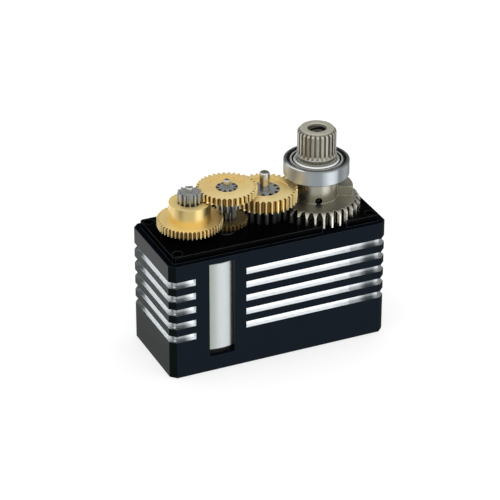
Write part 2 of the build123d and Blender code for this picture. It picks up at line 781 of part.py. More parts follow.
# Output shaft: one steel piece with the output gear, its stop block, the bearing seat,
# the horn spline with its screw hole, and the lower journal that turns the position sensor.
output_top = above_rim(spline_top)
output_gear_tip = tip_radius(output_module, output_gear_teeth)
hub_top = above_rim(output_hub_top)
spline_bottom = above_rim(collar_top)
journal_bottom = sensor_boss_z + running_clearance
sensor_top = sensor_boss_z - seat_clearance
sensor_bottom = sensor_top - sensor_height
sensor_floor = sensor_bottom + sensor_base_thickness
wiper_bottom = sensor_floor + wiper_disc_thickness
stub_bottom = wiper_bottom + wiper_disc_thickness
with BuildPart() as output_shaft:
    toothed_disc(
        output_x, output_module, output_gear_teeth,
        above_rim(output_gear_bottom), above_rim(output_gear_top),
        space_towards(180, output_gear_teeth) + output_gear_turn,
    )
    turned(output_x, [
        (output_gear_tip - output_gear_chamfer, above_rim(output_gear_top)),
        (output_gear_tip + output_gear_chamfer, above_rim(output_gear_top)),
        (output_gear_tip + output_gear_chamfer, above_rim(output_gear_top - 2 * output_gear_chamfer)),
    ], mode=Mode.SUBTRACT)
    with BuildSketch(Plane.XY.offset(above_rim(output_gear_top))):
        with BuildLine():
            stop_turn = radians(stop_half_angle)
            ThreePointArc(*[polar(output_x, stop_reach, turn * stop_turn) for turn in (-1, 0, 1)])
            ThreePointArc(*[polar(output_x, bearing_seat_radius, turn * stop_turn) for turn in (-1, 0, 1)])
            for turn in (-1, 1):
                Line(
                    polar(output_x, bearing_seat_radius, turn * stop_turn),
                    polar(output_x, stop_reach, turn * stop_turn),
                )
        make_face()
    extrude(amount=stop_top - output_gear_top)
    turned(output_x, [
        (0, stub_bottom),
        (sensor_stub_radius, stub_bottom),
        (sensor_stub_radius, journal_bottom),
        (lower_journal_radius, journal_bottom),
        (lower_journal_radius, above_rim(output_gear_top)),
        (output_hub_radius, above_rim(output_gear_top)),
        (output_hub_radius, hub_top),
        (bearing_seat_radius, hub_top),
        (bearing_seat_radius, spline_bottom),
        (spline_radius, spline_bottom),
        (spline_radius, output_top - spline_chamfer_height),
        (spline_radius - spline_chamfer, output_top),
        (0, output_top),
    ])
    slot_floor = spline_radius - spline_slot_depth
    slot_planes = []
    for slot in range(spline_teeth):
        slot_turn = radians(spline_slot_turn) + 2 * pi * slot / spline_teeth
        slot_planes.append(Plane(
            origin=(output_x, 0, above_rim(spline_slot_bottom)),
            x_dir=(cos(slot_turn), sin(slot_turn), 0),
            z_dir=(sin(slot_turn), -cos(slot_turn), 0),
        ))
    with BuildSketch(*slot_planes):
        with BuildLine():
            Polyline(
                (slot_floor, spline_slot_depth),
                (slot_floor + 2 * spline_slot_depth, -spline_slot_depth),
                (slot_floor + 2 * spline_slot_depth, spline_top - spline_slot_bottom),
                (slot_floor, spline_top - spline_slot_bottom),
                close=True,
            )
        make_face()
    extrude(amount=spline_slot_width / 2, both=True, mode=Mode.SUBTRACT)
    turned(output_x, [
        (0, output_top - horn_screw_depth),
        (horn_screw_radius, output_top - horn_screw_depth),
        (horn_screw_radius, output_top - horn_screw_mouth),
        (horn_screw_radius + horn_screw_mouth, output_top),
        (0, output_top),
    ], mode=Mode.SUBTRACT)
    hole_turn = radians(hub_hole_angle)
    hole_x, hole_y = polar(output_x, output_hub_radius, hole_turn)
    hole_z = above_rim(output_gear_top + hub_hole_height)
    with BuildSketch(Plane(origin=(hole_x, hole_y, hole_z), z_dir=(cos(hole_turn), sin(hole_turn), 0))):
        Circle(hub_hole_radius)
    extrude(amount=-hub_hole_depth, mode=Mode.SUBTRACT)
    flat_x = output_x + sensor_stub_radius - sensor_stub_flat / 2
    with BuildSketch(Plane.XY.offset(stub_bottom)):
        with Locations((flat_x, 0)):
            Rectangle(sensor_stub_flat, 2 * sensor_stub_radius)
    extrude(amount=journal_bottom - stub_bottom, mode=Mode.SUBTRACT)
output_shaft.part.label = "output_shaft"

# Output bearing: inner ring on the shaft, outer ring for the gear cover, balls in a cage, two seals.
bearing_bottom = hub_top + seat_clearance
bearing_top = bearing_bottom + bearing_width
bearing_middle = (bearing_bottom + bearing_top) / 2
inner_ring_bore = bearing_seat_radius + seat_clearance
inner_ring_land = bearing_seat_radius + inner_ring_thickness
outer_ring_land = bearing_outer_radius - outer_ring_thickness
ball_circle = (inner_ring_land + outer_ring_land) / 2


def raceway():
    """Groove for the balls, cut into the ring that calls it."""
    with BuildSketch(Plane.XZ) as groove:
        with Locations((output_x + ball_circle, bearing_middle)):
            Circle(ball_radius + race_conformity)
    revolve(groove.sketch, axis=Axis((output_x, 0, 0), (0, 0, 1)), mode=Mode.SUBTRACT)


with BuildPart() as bearing_inner_ring:
    turned(output_x, [
        (inner_ring_bore, bearing_bottom),
        (inner_ring_land - bearing_edge, bearing_bottom),
        (inner_ring_land, bearing_bottom + bearing_edge),
        (inner_ring_land, bearing_top - bearing_edge),
        (inner_ring_land - bearing_edge, bearing_top),
        (inner_ring_bore + bearing_edge, bearing_top),
        (inner_ring_bore, bearing_top - bearing_edge),
    ])
    raceway()
bearing_inner_ring.part.label = "bearing_inner_ring"

with BuildPart() as bearing_outer_ring:
    turned(output_x, [
        (outer_ring_land, bearing_bottom),
        (bearing_outer_radius - bearing_edge, bearing_bottom),
        (bearing_outer_radius, bearing_bottom + bearing_edge),
        (bearing_outer_radius, bearing_top - bearing_edge),
        (bearing_outer_radius - bearing_edge, bearing_top),
        (outer_ring_land, bearing_top),
    ])
    raceway()
bearing_outer_ring.part.label = "bearing_outer_ring"

with BuildPart() as bearing_balls:
    with Locations((output_x, 0, bearing_middle)):
        with PolarLocations(ball_circle, ball_count):
            Sphere(ball_radius)
bearing_balls.part.label = "bearing_balls"

with BuildPart() as bearing_cage:
    turned(output_x, [
        (ball_circle - cage_thickness / 2, bearing_middle - cage_height / 2),
        (ball_circle + cage_thickness / 2, bearing_middle - cage_height / 2),
        (ball_circle + cage_thickness / 2, bearing_middle + cage_height / 2),
        (ball_circle - cage_thickness / 2, bearing_middle + cage_height / 2),
    ])
    with BuildSketch(Plane.XY.offset(bearing_middle - cage_height / 2)):
        with Locations((output_x, 0)):
            with PolarLocations(ball_circle, ball_count):
                Circle(ball_radius + race_conformity)
    extrude(amount=cage_height / 2 + ball_radius + race_conformity, mode=Mode.SUBTRACT)
bearing_cage.part.label = "bearing_cage"

with BuildPart() as bearing_seals:
    seal_edge = outer_ring_land - seat_clearance
    lip_edge = inner_ring_land + seal_gap
    ridge_edge = lip_edge + seal_ridge_inset
    for side in (-1, 1):
        outside = bearing_middle + side * (bearing_width / 2 - seal_recess)
        inside = outside - side * seal_thickness
        ridge = outside + side * seal_ridge_height
        turned(output_x, [
            (lip_edge, inside),
            (seal_edge, inside),
            (seal_edge, outside),
            (ridge_edge + seal_ridge_width, outside),
            (ridge_edge + seal_ridge_width, ridge),
            (ridge_edge, ridge),
            (ridge_edge, outside),
            (lip_edge, outside),
        ])
bearing_seals.part.label = "bearing_seals"

# Position sensor: moulded cup under the output shaft, closed by a track disc with three leads.
hub_passage = wiper_hub_radius + board_clearance
with BuildPart() as sensor_housing:
    turned(output_x, [
        (hub_passage, sensor_top),
        (sensor_radius, sensor_top),
        (sensor_radius, sensor_bottom),
        (sensor_radius - sensor_wall, sensor_bottom),
        (sensor_radius - sensor_wall, sensor_top - sensor_wall),
        (hub_passage, sensor_top - sensor_wall),
    ])
sensor_housing.part.label = "sensor_housing"

with BuildPart() as sensor_base:
    turned(output_x, [
        (0, sensor_bottom),
        (sensor_radius - sensor_wall - seat_clearance, sensor_bottom),
        (sensor_radius - sensor_wall - seat_clearance, sensor_floor),
        (0, sensor_floor),
    ])
sensor_base.part.label = "sensor_base"

# Sensor wiper: moulded hub on the flat of the output shaft, with a contact finger over the track.
with BuildPart() as sensor_wiper:
    turned(output_x, [
        (0, wiper_bottom),
        (wiper_disc_radius, wiper_bottom),
        (wiper_disc_radius, stub_bottom),
        (wiper_hub_radius, stub_bottom),
        (wiper_hub_radius, sensor_top - seat_clearance),
        (0, sensor_top - seat_clearance),
    ])
    with BuildSketch(Plane.XY.offset(sensor_floor + running_clearance)):
        with Locations((output_x - wiper_disc_radius + wiper_finger, 0)):
            Rectangle(wiper_finger, wiper_finger)
    extrude(amount=wiper_disc_thickness)
    with BuildSketch(Plane.XY.offset(wiper_bottom)):
        with Locations((output_x, 0)):
            Circle(sensor_stub_radius + seat_clearance)
        with Locations((flat_x + seat_clearance, 0)):
            Rectangle(sensor_stub_flat, 4 * sensor_stub_radius, mode=Mode.SUBTRACT)
    extrude(amount=sensor_height, mode=Mode.SUBTRACT)
sensor_wiper.part.label = "sensor_wiper"

# Circuit board: glass laminate between the bottom cover's standoffs and the case shoulder.
board_top = board_height + board_thickness
with BuildPart() as circuit_board:
    with BuildSketch(Plane.XY.offset(board_height)):
        Rectangle(
            case_length - 2 * (board_wall + board_clearance),
            case_width - 2 * (board_wall + board_clearance),
        )
        with GridLocations(case_length - post_size, case_width - post_size, 2, 2):
            Rectangle(
                post_size + 2 * board_clearance, post_size + 2 * board_clearance, mode=Mode.SUBTRACT
            )
        with Locations(*lid_screws_at):
            Circle(lid_boss_radius + board_clearance, mode=Mode.SUBTRACT)
        with Locations(*terminal_places):
            Rectangle(
                terminal_width + 2 * board_clearance,
                terminal_thickness + 2 * board_clearance,
                mode=Mode.SUBTRACT,
            )
    extrude(amount=board_thickness)
circuit_board.part.label = "circuit_board"

# Sensor leads: three stiff square wires from the track disc down to the circuit board.
with BuildPart() as sensor_leads:
    with BuildSketch(Plane.XY.offset(board_top)):
        with Locations((output_x + lead_reach, 0)):
            with GridLocations(0, lead_spacing, 1, 3):
                Rectangle(lead_side, lead_side)
    extrude(amount=sensor_bottom - board_top)
sensor_leads.part.label = "sensor_leads"

# Electronics on the board: control chip, four motor drivers in two rows, and three capacitors.
chip_x = pocket_x - pocket_length / 2 + chip_size
with BuildPart() as control_chip:
    with BuildSketch(Plane.XY.offset(board_top)):
        with Locations((chip_x, 0)):
            Rectangle(chip_size, chip_size)
    extrude(amount=chip_height)
control_chip.part.label = "control_chip"

with BuildPart() as motor_drivers:
    with BuildSketch(Plane.XY.offset(board_top)):
        with Locations((chip_x + 1.5 * chip_size, 0)):
            with GridLocations(1.5 * driver_size, 1.5 * driver_size, 2, 2):
                Rectangle(driver_size, driver_size)
    extrude(amount=driver_height)
motor_drivers.part.label = "motor_drivers"

with BuildPart() as capacitors:
    with BuildSketch(Plane.XY.offset(board_top)):
        with Locations((chip_x, chip_size)):
            with GridLocations(2 * capacitor_width, 0, 3, 1):
                Rectangle(capacitor_width, capacitor_length)
    extrude(amount=capacitor_width)
capacitors.part.label = "capacitors"

# Lead grommet: rubber block in the end wall with three holes for the leads.
grommet_z = inlet_bottom + inlet_height / 2
with BuildPart() as lead_grommet:
    with BuildSketch(Plane.YZ.offset(half_length - running_clearance)):
        with Locations((0, grommet_z)):
            RectangleRounded(
                inlet_width - 2 * seat_clearance, inlet_height - 2 * seat_clearance, inlet_step
            )
            with GridLocations(lead_hole_pitch, 0, 3, 1):
                Circle(lead_hole_radius, mode=Mode.SUBTRACT)
    extrude(amount=-(inlet_depth - 2 * running_clearance))
lead_grommet.part.label = "lead_grommet"

os.makedirs("parts", exist_ok=True)
pieces = [
    middle_case, bottom_cover, bottom_screws, lead_grommet, circuit_board, control_chip,
    motor_drivers, capacitors, motor_can, motor_front_bush, motor_magnet, motor_end_cap,
    motor_terminals, motor_brushes, motor_screws, motor_coil, commutator, motor_shaft,
    motor_pinion, first_gear, first_pinion, second_gear, second_pinion, third_gear,
    third_pinion, fourth_gear, fourth_pinion, first_shaft, second_shaft, fourth_shaft,
    output_bush, output_shaft, bearing_inner_ring, bearing_outer_ring, bearing_balls,
    bearing_cage, bearing_seals, sensor_housing, sensor_base, sensor_wiper, sensor_leads,
]
for piece in pieces:
    export_step(piece.part, f"parts/{piece.part.label}.step")
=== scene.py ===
"""Mini servo with its gear cover lifted off, dressed for a photograph.

The solids come from the shared frame; this file gives them their finishes and the screw
thread in the output shaft. Metres, +Z up along the output axis.
"""
from math import cos, pi, radians, sin

import bmesh
import bpy
from mathutils import Matrix, Vector


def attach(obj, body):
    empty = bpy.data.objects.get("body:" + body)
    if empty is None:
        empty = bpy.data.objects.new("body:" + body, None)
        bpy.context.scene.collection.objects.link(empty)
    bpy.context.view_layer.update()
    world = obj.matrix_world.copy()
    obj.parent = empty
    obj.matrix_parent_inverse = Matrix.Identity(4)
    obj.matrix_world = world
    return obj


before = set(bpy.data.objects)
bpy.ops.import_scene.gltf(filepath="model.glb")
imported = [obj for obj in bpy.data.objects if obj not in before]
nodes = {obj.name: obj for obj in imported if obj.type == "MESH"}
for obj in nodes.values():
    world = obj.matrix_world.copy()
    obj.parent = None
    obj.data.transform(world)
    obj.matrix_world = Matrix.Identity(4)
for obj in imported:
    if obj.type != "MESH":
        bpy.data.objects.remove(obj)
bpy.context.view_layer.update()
MM = 0.001

# Camera: a long lens from the front left and above, as in the photograph.
# Its place and its three small turns were solved on the straight edges of the case.
azimuth, elevation, distance = radians(-24.6655), radians(29.04), 373.06
yaw, pitch, roll = radians(-0.2229), radians(0.3245), radians(0.12)
target = Vector((0.0, 0.0, 12.0)) * MM
backward = Vector((
    sin(azimuth) * cos(elevation), -cos(azimuth) * cos(elevation), sin(elevation)
))
camera_place = target + backward * distance * MM
forward = -backward
right = forward.cross(Vector((0, 0, 1))).normalized()
forward = forward * cos(yaw) + right * sin(yaw)
right = forward.cross(Vector((0, 0, 1))).normalized()
up = right.cross(forward)
forward = forward * cos(pitch) + up * sin(pitch)
up = right.cross(forward)
right, up = right * cos(roll) + up * sin(roll), up * cos(roll) - right * sin(roll)
camera = bpy.data.objects.new("camera", bpy.data.cameras.new("camera"))
bpy.context.scene.collection.objects.link(camera)
camera.data.sensor_width = 36.0
camera.data.lens = 176.63
camera.data.clip_start = 0.01
camera.data.clip_end = 20.0
camera.matrix_world = Matrix((
    (right.x, up.x, -forward.x, camera_place.x),
    (right.y, up.y, -forward.y, camera_place.y),
    (right.z, up.z, -forward.z, camera_place.z),
    (0, 0, 0, 1),
))
bpy.context.scene.camera = camera
bpy.context.scene.view_settings.view_transform = "Standard"


# Studio: white ground and surroundings, and a soft bright sky. What metal mirrors is lit from
# above and by a few pale patches low down, with a darker part at the back right.
class Surface:
    """A value that varies over a surface; arithmetic on it adds the nodes that work it out."""

    def __init__(self, tree, socket=None):
        self.tree = tree
        self.socket = socket

    def node(self, kind, sockets=None, output=0, **settings):
        """Adds one node: its settings first, then the values or links of its sockets."""
        made = self.tree.nodes.new(kind)
        for name, value in settings.items():
            setattr(made, name, value)
        for key, value in (sockets or {}).items():
            if isinstance(value, Surface):
                self.tree.links.new(value.socket, made.inputs[key])
            else:
                made.inputs[key].default_value = value
        return Surface(self.tree, made.outputs[output] if made.outputs else None)

    def maths(self, operation, *others):
        """Adds one Math node that works on this value and the others."""
        return self.node(
            "ShaderNodeMath", dict(enumerate((self, *others))), operation=operation
        )

    def __add__(self, other):
        return self.maths("ADD", other)

    def __sub__(self, other):
        return self.maths("SUBTRACT", other)

    def __rsub__(self, other):
        return self * -1.0 + other

    def __mul__(self, other):
        return self.maths("MULTIPLY", other)

    def __truediv__(self, other):
        return self.maths("DIVIDE", other)

    def __abs__(self):
        return self.maths("ABSOLUTE")

    __radd__ = __add__
    __rmul__ = __mul__

    def parts(self):
        """The three numbers of a vector."""
        split = self.node("ShaderNodeSeparateXYZ", {0: self}).socket.node
        return [Surface(self.tree, number) for number in split.outputs]

    def ramp(self, low, high, start=0.0, end=1.0):
        """Goes smoothly from start to end while the value goes from low to high."""
        return self.node(
            "ShaderNodeMapRange",
            {"Value": self, "From Min": low, "From Max": high, "To Min": start, "To Max": end},
            interpolation_type="SMOOTHSTEP",
        )

    def between(self, low, high, soft):
        """One from low to high and nothing outside, with soft ends."""
        return self.ramp(low - soft, low) * self.ramp(high, high + soft, 1.0, 0.0)

    def blend(self, first, second):
        """Colour that goes from the first to the second as this value goes from 0 to 1."""
        return self.node(
            "ShaderNodeMix", {0: self, 6: opaque(first), 7: opaque(second)}, output=2,
            data_type="RGBA",
        )

    def noise(self, scale, detail=2.0, rough=0.5):
        """Even random value about one half, over this position."""
        return self.node(
            "ShaderNodeTexNoise",
            {"Vector": self, "Scale": scale, "Detail": detail, "Roughness": rough},
        )

    def stretched(self, x, y, z):
        """This position, multiplied along each axis."""
        return self.node("ShaderNodeVectorMath", {0: self, 1: (x, y, z)}, operation="MULTIPLY")

    def along(self, direction):
        """How far this direction agrees with another one, 1 where they are the same."""
        return self.node(
            "ShaderNodeVectorMath", {0: self, 1: direction}, output=1, operation="DOT_PRODUCT"
        )


def opaque(colour):
    """Colour with the fourth number that colour sockets take."""
    return colour if isinstance(colour, Surface) else (*colour, 1.0)


world = bpy.data.worlds.new("studio")
bpy.context.scene.world = world
world.use_nodes = True
world.node_tree.nodes.clear()
sky = Surface(world.node_tree)
direction = sky.node("ShaderNodeTexCoord", output="Generated")


def patch(side, height, core, edge):
    """Round patch of sky in one direction: 1 inside the core angle, 0 outside the edge angle."""
    side, height = radians(side), radians(height)
    aim = (sin(side) * cos(height), -cos(side) * cos(height), sin(height))
    return direction.along(aim).ramp(cos(radians(edge)), cos(radians(core)))


mirrored = 0.30
for brightness, side, height, core, edge in (
    (0.40, -10, -22, 34, 58),    # table in front
    (0.85, 33, -25, 12, 27),     # card at the front right
    (1.15, 0, 90, 46, 78),       # soft box overhead
    (0.62, -155, -24, 24, 44),   # table at the back left
    (0.45, -108, -25, 12, 28),   # card at the left
    (0.50, 160, -12, 20, 45),    # card behind
    (0.55, 95, -8, 14, 36),      # card at the right
):
    mirrored = mirrored + brightness * patch(side, height, core, edge)
mirrored = mirrored * (1.0 - 0.8 * patch(155, 29, 9, 22))
for_camera = sky.node("ShaderNodeLightPath", output="Is Camera Ray")
for_mirror = sky.node("ShaderNodeLightPath", output="Is Glossy Ray")
soft_light = 0.72 + 0.35 * patch(-20, 70, 30, 75)
strength = for_mirror * mirrored + (1.0 - for_mirror) * soft_light
strength = for_camera + (1.0 - for_camera) * strength
glow = sky.node("ShaderNodeBackground", {"Color": (1, 1, 1, 1), "Strength": strength})
sky.node("ShaderNodeOutputWorld", {"Surface": glow})

ground_reach, ground_gap = 3.0, 0.02 * MM
ground_mesh = bpy.data.meshes.new("ground")
ground_mesh.from_pydata(
    [
        (-ground_reach, -ground_reach, 0), (ground_reach, -ground_reach, 0),
        (ground_reach, ground_reach, 0), (-ground_reach, ground_reach, 0),
    ],
    [], [(0, 1, 2, 3)],
)
ground = bpy.data.objects.new("ground", ground_mesh)
ground.location.z = -ground_gap
ground.visible_glossy = False
bpy.context.scene.collection.objects.link(ground)
paper = bpy.data.materials.new("white_ground")
paper.use_nodes = True
paper.node_tree.nodes.clear()
sheet = Surface(paper.node_tree)
matt = sheet.node("ShaderNodeBsdfDiffuse", {"Color": (0.50, 0.50, 0.50, 1)})
seen = sheet.node("ShaderNodeLightPath", output="Is Camera Ray")
lift = sheet.node("ShaderNodeEmission", {"Color": (1, 1, 1, 1), "Strength": seen * 0.62})
both = sheet.node("ShaderNodeAddShader", {0: matt, 1: lift})
sheet.node("ShaderNodeOutputMaterial", {"Surface": both})
ground_mesh.materials.append(paper)


# Middle case: machined from one aluminium block and black anodised. The cooling grooves are
# then cut through the black skin, so that they stay bare metal with fine milling marks.
def finish(name, **constants):
    """New finish: its material, its shader with the constants set, and the place on the piece."""
    material = bpy.data.materials.new(name)
    material.use_nodes = True
    shader = material.node_tree.nodes["Principled BSDF"]
    for key, value in constants.items():
        shader.inputs[key.replace("_", " ")].default_value = value
    place = Surface(material.node_tree).node("ShaderNodeTexCoord", output="Object")
    return material, shader, place


def join(shader, **values):
    """Leads varying values into the shader's sockets."""
    for key, value in values.items():
        value.tree.links.new(value.socket, shader.inputs[key.replace("_", " ")])


def lay_on(material, *names):
    """Gives the finish to solids of the frame."""
    for name in names:
        nodes[name].data.materials.clear()
        nodes[name].data.materials.append(material)


def rounded(place, radius):
    """Surface direction with every sharp edge rounded off by the given radius."""
    return place.node("ShaderNodeBevel", {"Radius": radius}, samples=6)


def bare_direction(place):
    """Surface direction without any rounding."""
    return place.node("ShaderNodeNewGeometry", output="Normal")


def edges(soft):
    """One along the sharp edges that a rounded direction softens, and nothing on flat faces."""
    return soft.along(bare_direction(soft)).ramp(0.995, 0.86)


def relief(height, depth, normal):
    """Surface direction with a fine relief, its depth given in metres."""
    return height.node(
        "ShaderNodeBump", {"Height": height, "Distance": depth, "Normal": normal, "Strength": 1.0}
    )


half_length, half_width, corner_leg = 17.75 * MM, 7.5 * MM, 0.9 * MM
groove_top, groove_pitch, groove_width = 16.35 * MM, 2.29 * MM, 1.05 * MM
lowest_groove = 4 * groove_pitch + groove_width
plain_from, plain_to = -13.72 * MM, -5.55 * MM
skin, groove_depth = 0.03 * MM, 0.5 * MM
spare, blur = 0.02 * MM, 0.01 * MM
rim_low, rim_high = 18.9 * MM, 19.05 * MM
case, shader, place = finish(
    "black_anodised_case", Specular_IOR_Level=0.0, Coat_Roughness=0.14, Coat_IOR=1.5
)
x, y, z = place.parts()
depth_x = half_length - abs(x)
depth_y = half_width - abs(y)
depth_corner = (depth_x + depth_y - corner_leg) * cos(radians(45))
depth = depth_x.maths("MINIMUM", depth_y).maths("MINIMUM", depth_corner)
below = groove_top - z
inside_pitch = (below + spare).maths("FLOORED_MODULO", groove_pitch)
in_band = inside_pitch.between(0.0, groove_width + 2 * spare, 0.002 * MM)
in_band = in_band * below.between(-0.05 * MM, lowest_groove + 0.05 * MM, blur)
outside_plain = 1.0 - x.between(plain_from + spare, plain_to - spare, blur)
bare = in_band * outside_plain * depth.between(skin, groove_depth + skin, blur)
milling = place.stretched(300.0, 300.0, 9000.0).noise(1.0, 3.0)
grain = place.noise(9000.0, 2.0)
blotch = place.noise(260.0, 3.0)
edge_wear_and_highlight = edges(rounded(place, 0.12 * MM)) * (0.35 + 0.9 * place.noise(1200.0, 2.0))
outer = z.ramp(rim_low, rim_high, 1.0, 0.0)
sideways = abs(bare_direction(place).parts()[0])
end_wall = sideways.ramp(0.8, 0.95)
# Painted light: walls facing front and back are painted navy, walls facing the ends greenish grey,
# and the deck above the rim is painted blacker as painted shade.
wall = sideways.ramp(0.4, 0.75).blend(
    blotch.blend((0.0025, 0.0080, 0.0160), (0.0040, 0.0105, 0.0195)),
    blotch.blend((0.0030, 0.0065, 0.0060), (0.0050, 0.0090, 0.0085)),
)
black = outer.blend(blotch.blend((0.0008, 0.0009, 0.0013), (0.0016, 0.0018, 0.0024)), wall)
# The sharp edges are lighter: partly edge wear, partly a painted highlight, strongest on the deck.
black = (edge_wear_and_highlight * (0.10 + (1.0 - outer) * 0.65)).blend(black, (0.12, 0.125, 0.13))
# The metal of the grooves is painted darker towards the corners, at the left end and on the
# chamfers, as painted shade and painted reflection.
low = inside_pitch.ramp(0.25 * MM, 0.95 * MM)
right_side = x.ramp(8.6 * MM, 10.4 * MM) * 0.12
right_side = right_side + x.ramp(11.72 * MM, 11.86 * MM) * (0.18 + 0.1 * low)
right_side = right_side + x.ramp(13.2 * MM, 14.8 * MM) * 0.52 - x.ramp(15.6 * MM, 16.4 * MM) * 0.42
left_back = x.ramp(-13.8 * MM, -16.4 * MM) * y.ramp(6.9 * MM, 7.0 * MM) * (0.35 + 0.35 * low)
left_front = x.ramp(-13.9 * MM, -15.7 * MM) * y.ramp(-6.9 * MM, -7.0 * MM) * (0.74 + 0.1 * low)
left_end = y.ramp(3.4 * MM, 4.8 * MM) * (0.6 + 0.4 * grain) + y.ramp(-4.6 * MM, -6.8 * MM) * 0.55
left_end = left_end * x.ramp(-16.9 * MM, -17.1 * MM)
chamfer = (depth_x.maths("MINIMUM", depth_y) - depth_corner).ramp(0.0, 0.03 * MM)
painted_groove_shade = right_side + left_back + left_end + left_front + chamfer * 0.12
painted_groove_shade = painted_groove_shade.maths("MINIMUM", 1.0)
metal = milling.ramp(0.3, 0.7, 0.0, 0.12).blend((0.95, 0.98, 1.0), (0.80, 0.82, 0.84))
metal = painted_groove_shade.blend(metal, (0.10, 0.115, 0.125))
wall_coat = (1.0 - end_wall) * 0.08 + end_wall * (0.25 + z.ramp(1.0 * MM, 18.0 * MM) * 0.22)
join(
    shader,
    Base_Color=bare.blend(black, metal),
    Metallic=bare,
    Roughness=bare * (0.28 + milling * 0.10) + (1.0 - bare) * (0.34 + grain * 0.14),
    Coat_Weight=(outer * wall_coat + 0.03) * (1.0 - bare),
    Normal=relief(
        grain * (1.0 - bare) + milling * bare, 0.0012 * MM, rounded(place, 0.22 * MM)
    ),
)
lay_on(case, "middle_case")

# Bottom cover: the same black anodised aluminium as the case, a plate let into the underside,
# held by two short screws here and by the four long cover screws at its corners.
cover, shader, place = finish("black_anodised_cover", Specular_IOR_Level=0.3)
soft = rounded(place, 0.08 * MM)
brushed = place.stretched(300.0, 9000.0, 300.0).noise(1.0, 3.0)
grain = place.noise(9000.0, 2.0)
edge_wear_and_highlight = edges(soft) * (0.3 + place.noise(1500.0, 2.0))
black = place.noise(260.0, 3.0).blend((0.0040, 0.0055, 0.0090), (0.0075, 0.0095, 0.0140))
join(
    shader,
    Base_Color=(edge_wear_and_highlight * 0.25).blend(black, (0.20, 0.21, 0.22)),
    Metallic=edge_wear_and_highlight * 0.2,
    Roughness=0.36 + brushed * 0.16,
    Normal=relief(brushed + grain, 0.0012 * MM, soft),
)
lay_on(cover, "bottom_cover")

# Screws: case-hardened steel, blackened in hot oxide, which leaves a dark grey oily sheen.
# Two hold the bottom cover to the case, and two hold the motor under the deck.
oxide, shader, place = finish("black_oxide_screw")
soft = rounded(place, 0.05 * MM)
mottle = place.noise(2500.0, 3.0)
rubbed = edges(soft) * (0.4 + place.noise(4000.0, 2.0))
grey = mottle.blend((0.06, 0.06, 0.065), (0.11, 0.11, 0.12))
join(
    shader,
    Base_Color=(rubbed * 0.6).blend(grey, (0.4, 0.4, 0.41)),
    Metallic=0.75 + mottle * 0.2,
    Roughness=0.30 + mottle * 0.22,
    Normal=relief(place.noise(12000.0, 2.0), 0.0015 * MM, soft),
)
lay_on(oxide, "bottom_screws", "motor_screws")

# Lead grommet: moulded black rubber block, dull and faintly dusty. It is pressed into the end
# wall, and the leads pass through its three holes.
rubber, shader, place = finish("grommet_rubber", Specular_IOR_Level=0.3)
dust = place.noise(1800.0, 4.0)
join(
    shader,
    Base_Color=dust.ramp(0.45, 0.75).blend((0.012, 0.012, 0.013), (0.035, 0.034, 0.033)),
    Roughness=0.72 + dust * 0.2,
    Normal=relief(place.noise(15000.0, 3.0), 0.004 * MM, rounded(place, 0.1 * MM)),
)
lay_on(rubber, "lead_grommet")

# Circuit board: glass laminate with black solder mask on both faces; the sawn edge shows the
# dull brown glass cloth in thin layers.
laminate, shader, place = finish("board_laminate")
masked = abs(bare_direction(place).parts()[2])
layers = place.stretched(400.0, 400.0, 14000.0).noise(1.0, 2.0)
weave = place.noise(3500.0, 2.0)
sawn = layers.blend((0.035, 0.032, 0.018), (0.07, 0.064, 0.036))
mask = weave.blend((0.004, 0.012, 0.009), (0.009, 0.022, 0.016))
join(
    shader,
    Base_Color=masked.ramp(0.4, 0.6).blend(sawn, mask),
    Roughness=0.75 - masked * 0.42 + weave * 0.1,
    Normal=relief(weave + layers, 0.004 * MM, rounded(place, 0.04 * MM)),
)
lay_on(laminate, "circuit_board")

# Chips: the control chip and four motor drivers, moulded in black epoxy with a fine matt face
# and soldered flat to the board.
epoxy, shader, place = finish("chip_package", Specular_IOR_Level=0.4)
speck = place.noise(20000.0, 2.0)
join(
    shader,
    Base_Color=speck.blend((0.012, 0.012, 0.013), (0.030, 0.030, 0.031)),
    Roughness=0.5 + place.noise(1500.0, 2.0) * 0.25,
    Normal=relief(speck, 0.003 * MM, rounded(place, 0.06 * MM)),
)
lay_on(epoxy, "control_chip", "motor_drivers")

# Capacitors: three pressed ceramic blocks, tan in the middle, with tinned ends that are
# soldered to the board.
ceramic, shader, place = finish("capacitor_ceramic")
capacitor_y, tinned_from = 4.0 * MM, 0.68 * MM
ends = abs(place.parts()[1] - capacitor_y).ramp(tinned_from, tinned_from + 0.04 * MM)
grit = place.noise(6000.0, 3.0)
tan = grit.blend((0.33, 0.19, 0.10), (0.46, 0.30, 0.17))
join(
    shader,
    Base_Color=ends.blend(tan, grit.blend((0.52, 0.52, 0.50), (0.72, 0.72, 0.70))),
    Metallic=ends,
    Roughness=0.55 - ends * 0.2 + grit * 0.12,
    Normal=relief(grit, 0.005 * MM, rounded(place, 0.08 * MM)),
)
lay_on(ceramic, "capacitors")

# Motor can: deep-drawn steel cup with a satin nickel plate; drawing leaves faint upright lines.
# A painted reflection tints a band down its left side greener.
can, shader, place = finish("satin_nickel_can")
drawn = place.stretched(7000.0, 7000.0, 60.0).noise(1.0, 3.0)
cloud = place.noise(500.0, 3.0)
reflection_band_edge = -10.75 * MM
reflection_band = place.parts()[0].ramp(reflection_band_edge, reflection_band_edge + 0.2 * MM)
plate = reflection_band.blend((0.49, 0.56, 0.47), (0.50, 0.53, 0.54))
join(
    shader,
    Base_Color=(cloud * 0.3).blend(plate, (0.70, 0.71, 0.71)),
    Metallic=0.92 + drawn * 0.08,
    Roughness=0.27 + drawn * 0.12,
    Normal=relief(drawn, 0.0025 * MM, rounded(place, 0.1 * MM)),
)
lay_on(can, "motor_can")

